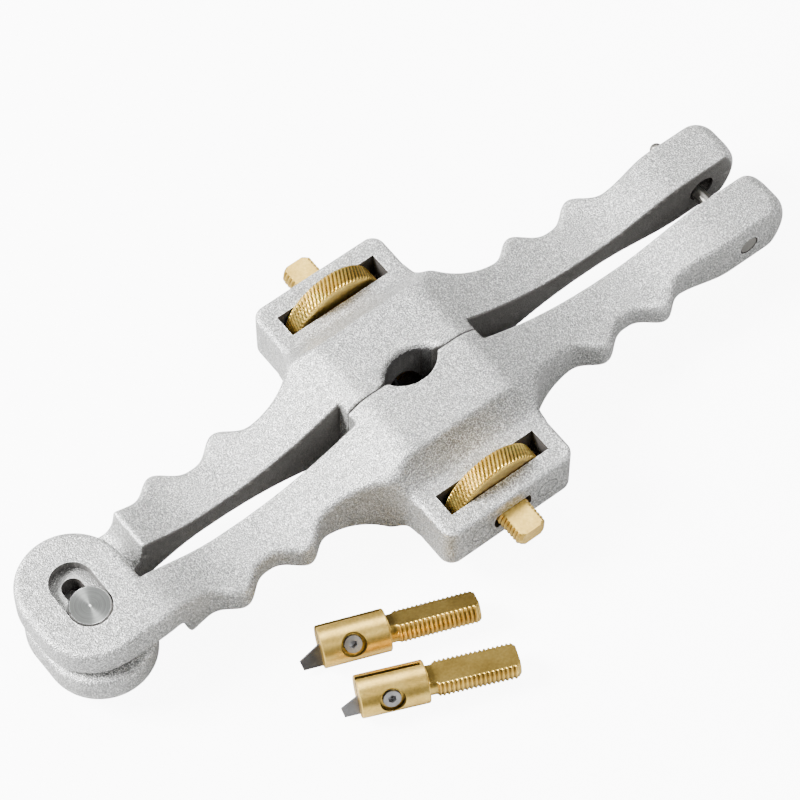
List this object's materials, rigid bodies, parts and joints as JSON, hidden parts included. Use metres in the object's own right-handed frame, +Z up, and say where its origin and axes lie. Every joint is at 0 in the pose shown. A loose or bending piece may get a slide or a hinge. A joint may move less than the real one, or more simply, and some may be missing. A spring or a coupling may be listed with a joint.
{
  "type": "cable jacket cutter",
  "caption": "Two-handled cast cutter: hinged halves close round a cable in a central bore, and thumb wheels wind slotted brass blade cartridges in from both sides.",
  "frame": {"origin": "on the axis of the cable bore, at the mid-plane of the castings", "axes": "+X along the handles from the pivot towards the free end, +Y along the blade cartridges from the front half to the rear half, +Z up along the cable bore"},
  "size_m": [0.2472, 0.1345, 0.035],
  "materials": {
    "cast_aluminium": "bead-blasted casting, fine sparkle, brighter worn edges",
    "turned_steel": "turned face with circular machining marks",
    "brass": "satin machined brass",
    "blade_steel": "dark ground tool steel"
  },
  "bodies": {
    "front_half": {"front_handle": "cast_aluminium", "alignment_pin": "turned_steel"},
    "pivot": {"pivot_pin": "turned_steel", "pivot_screw": "turned_steel", "pivot_washer": "turned_steel"},
    "rear_half": {"rear_handle": "cast_aluminium"},
    "front_thumb_wheel": {"front_wheel": "brass"},
    "rear_thumb_wheel": {"rear_wheel": "brass"},
    "front_cartridge": {"front_blade_holder": "brass", "front_blade": "blade_steel", "front_set_screw": "turned_steel"},
    "rear_cartridge": {"rear_blade_holder": "brass", "rear_blade": "blade_steel", "rear_set_screw": "turned_steel"},
    "spare_cartridge_1": {"spare_holder_1": "brass", "spare_blade_1": "blade_steel", "spare_set_screw_1": "turned_steel"},
    "spare_cartridge_2": {"spare_holder_2": "brass", "spare_blade_2": "blade_steel", "spare_set_screw_2": "turned_steel"}
  },
  "joints": [
    {"name": "pivot_slide", "type": "slide", "parent": "front_half", "child": "pivot", "axis": [0, 1, 0], "range_m": [0, 0.0084]},
    {"name": "handle_hinge", "type": "hinge", "parent": "pivot", "child": "rear_half", "pos_m": [-0.11, -0.0028, 0], "axis": [0, 0, 1], "range_deg": [0, 45]},
    {"name": "front_wheel_turn", "type": "hinge", "parent": "front_half", "child": "front_thumb_wheel", "pos_m": [0, -0.036, 0], "axis": [0, 1, 0], "range_deg": [0, 1080]},
    {"name": "front_cartridge_feed", "type": "slide", "parent": "front_half", "child": "front_cartridge", "axis": [0, -1, 0], "range_m": [0, 0.00376]},
    {"name": "rear_wheel_turn", "type": "hinge", "parent": "rear_half", "child": "rear_thumb_wheel", "pos_m": [0, 0.036, 0], "axis": [0, -1, 0], "range_deg": [0, 1080]},
    {"name": "rear_cartridge_feed", "type": "slide", "parent": "rear_half", "child": "rear_cartridge", "axis": [0, 1, 0], "range_m": [0, 0.00376]},
    {"name": "spare_1_lift", "type": "slide", "parent": "front_half", "child": "spare_cartridge_1", "axis": [0, 0, 1], "range_m": [0, 0.06]},
    {"name": "spare_2_lift", "type": "slide", "parent": "front_half", "child": "spare_cartridge_2", "axis": [0, 0, 1], "range_m": [0, 0.06]}
  ],
  "couplings": [
    {"joint": "pivot_slide", "follows": "handle_hinge", "m_per_rad": 0.01069},
    {"joint": "front_cartridge_feed", "follows": "front_wheel_turn", "m_per_rad": 0.00019894},
    {"joint": "rear_cartridge_feed", "follows": "rear_wheel_turn", "m_per_rad": 0.00019894}
  ]
}
